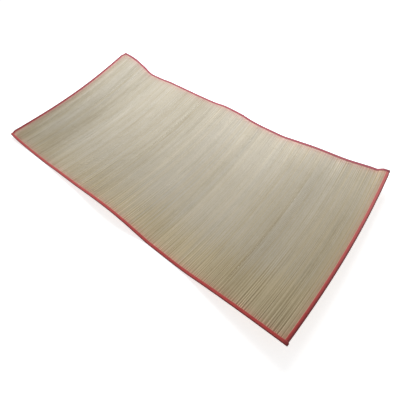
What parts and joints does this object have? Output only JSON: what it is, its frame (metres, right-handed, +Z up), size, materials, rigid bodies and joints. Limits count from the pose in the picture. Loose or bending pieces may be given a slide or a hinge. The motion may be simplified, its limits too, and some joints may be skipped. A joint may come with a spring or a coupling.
{
  "type": "beach mat",
  "caption": "Woven straw beach mat with a folded red fabric tape sewn over all its edges, lying in gentle waves with both ends curled up.",
  "frame": {"origin": "under the middle of the mat's box, on the floor that it lies on", "axes": "+X along the mat's length towards the end that curls up higher, +Y across it towards the far long edge, +Z up"},
  "size_m": [1.789, 0.8996, 0.0958],
  "materials": {
    "straw": "dry natural straw with a slight sheen along the stalks",
    "red_tape": "matt woven cotton tape"
  },
  "bodies": {
    "root": {"straw_panel": "straw", "near_side_binding": "red_tape", "far_side_binding": "red_tape", "left_end_binding": "red_tape", "right_end_binding": "red_tape"}
  },
  "joints": []
}
